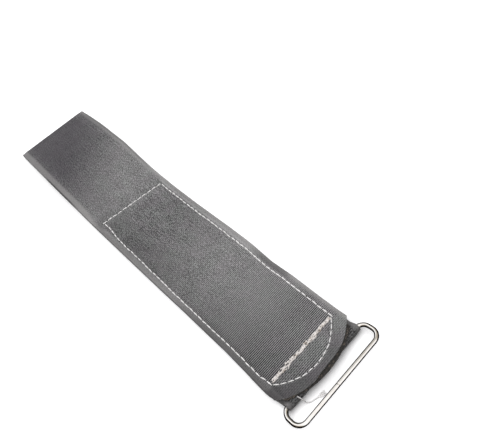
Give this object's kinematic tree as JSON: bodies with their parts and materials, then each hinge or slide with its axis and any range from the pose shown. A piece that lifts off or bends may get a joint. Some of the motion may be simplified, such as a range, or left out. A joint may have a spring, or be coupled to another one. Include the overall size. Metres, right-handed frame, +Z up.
{
  "type": "wrist strap",
  "caption": "Folded hook-and-loop tape wrist strap with a rounded, stitched tail and a rectangular wire ring sewn into its other end.",
  "frame": {"origin": "middle of the folded strap's length and width, on the surface that it lies on", "axes": "+X from the far fold to the ring, +Y across the tape, +Z up out of the surface"},
  "size_m": [0.2506, 0.0568, 0.01],
  "materials": {
    "tape": "knitted grey loop tape with cross ribs and a matt pile inside",
    "hooks": "dark woven tape set with fine plastic hooks",
    "thread": "off-white twisted sewing thread",
    "ring_wire": "bright nickel-plated steel wire"
  },
  "bodies": {
    "band": {"tape_body": "tape", "ring_seam_single": "thread", "ring_seam_double": "thread"},
    "tail": {"tape_tail": "tape", "hook_patch": "hooks", "patch_seam": "thread", "tip_seam": "thread", "tack_seam": "thread"},
    "wire_ring": {"ring": "ring_wire"}
  },
  "joints": [
    {"name": "tail_fold", "type": "hinge", "parent": "band", "child": "tail", "pos_m": [-0.12531, -0.0009, 0.0018], "axis": [0, -1, 0], "range_deg": [0, 165]},
    {"name": "ring_swing", "type": "hinge", "parent": "band", "child": "wire_ring", "pos_m": [0.11349, 0, 0.0024], "axis": [0, -1, 0], "range_deg": [-22, 130]}
  ]
}
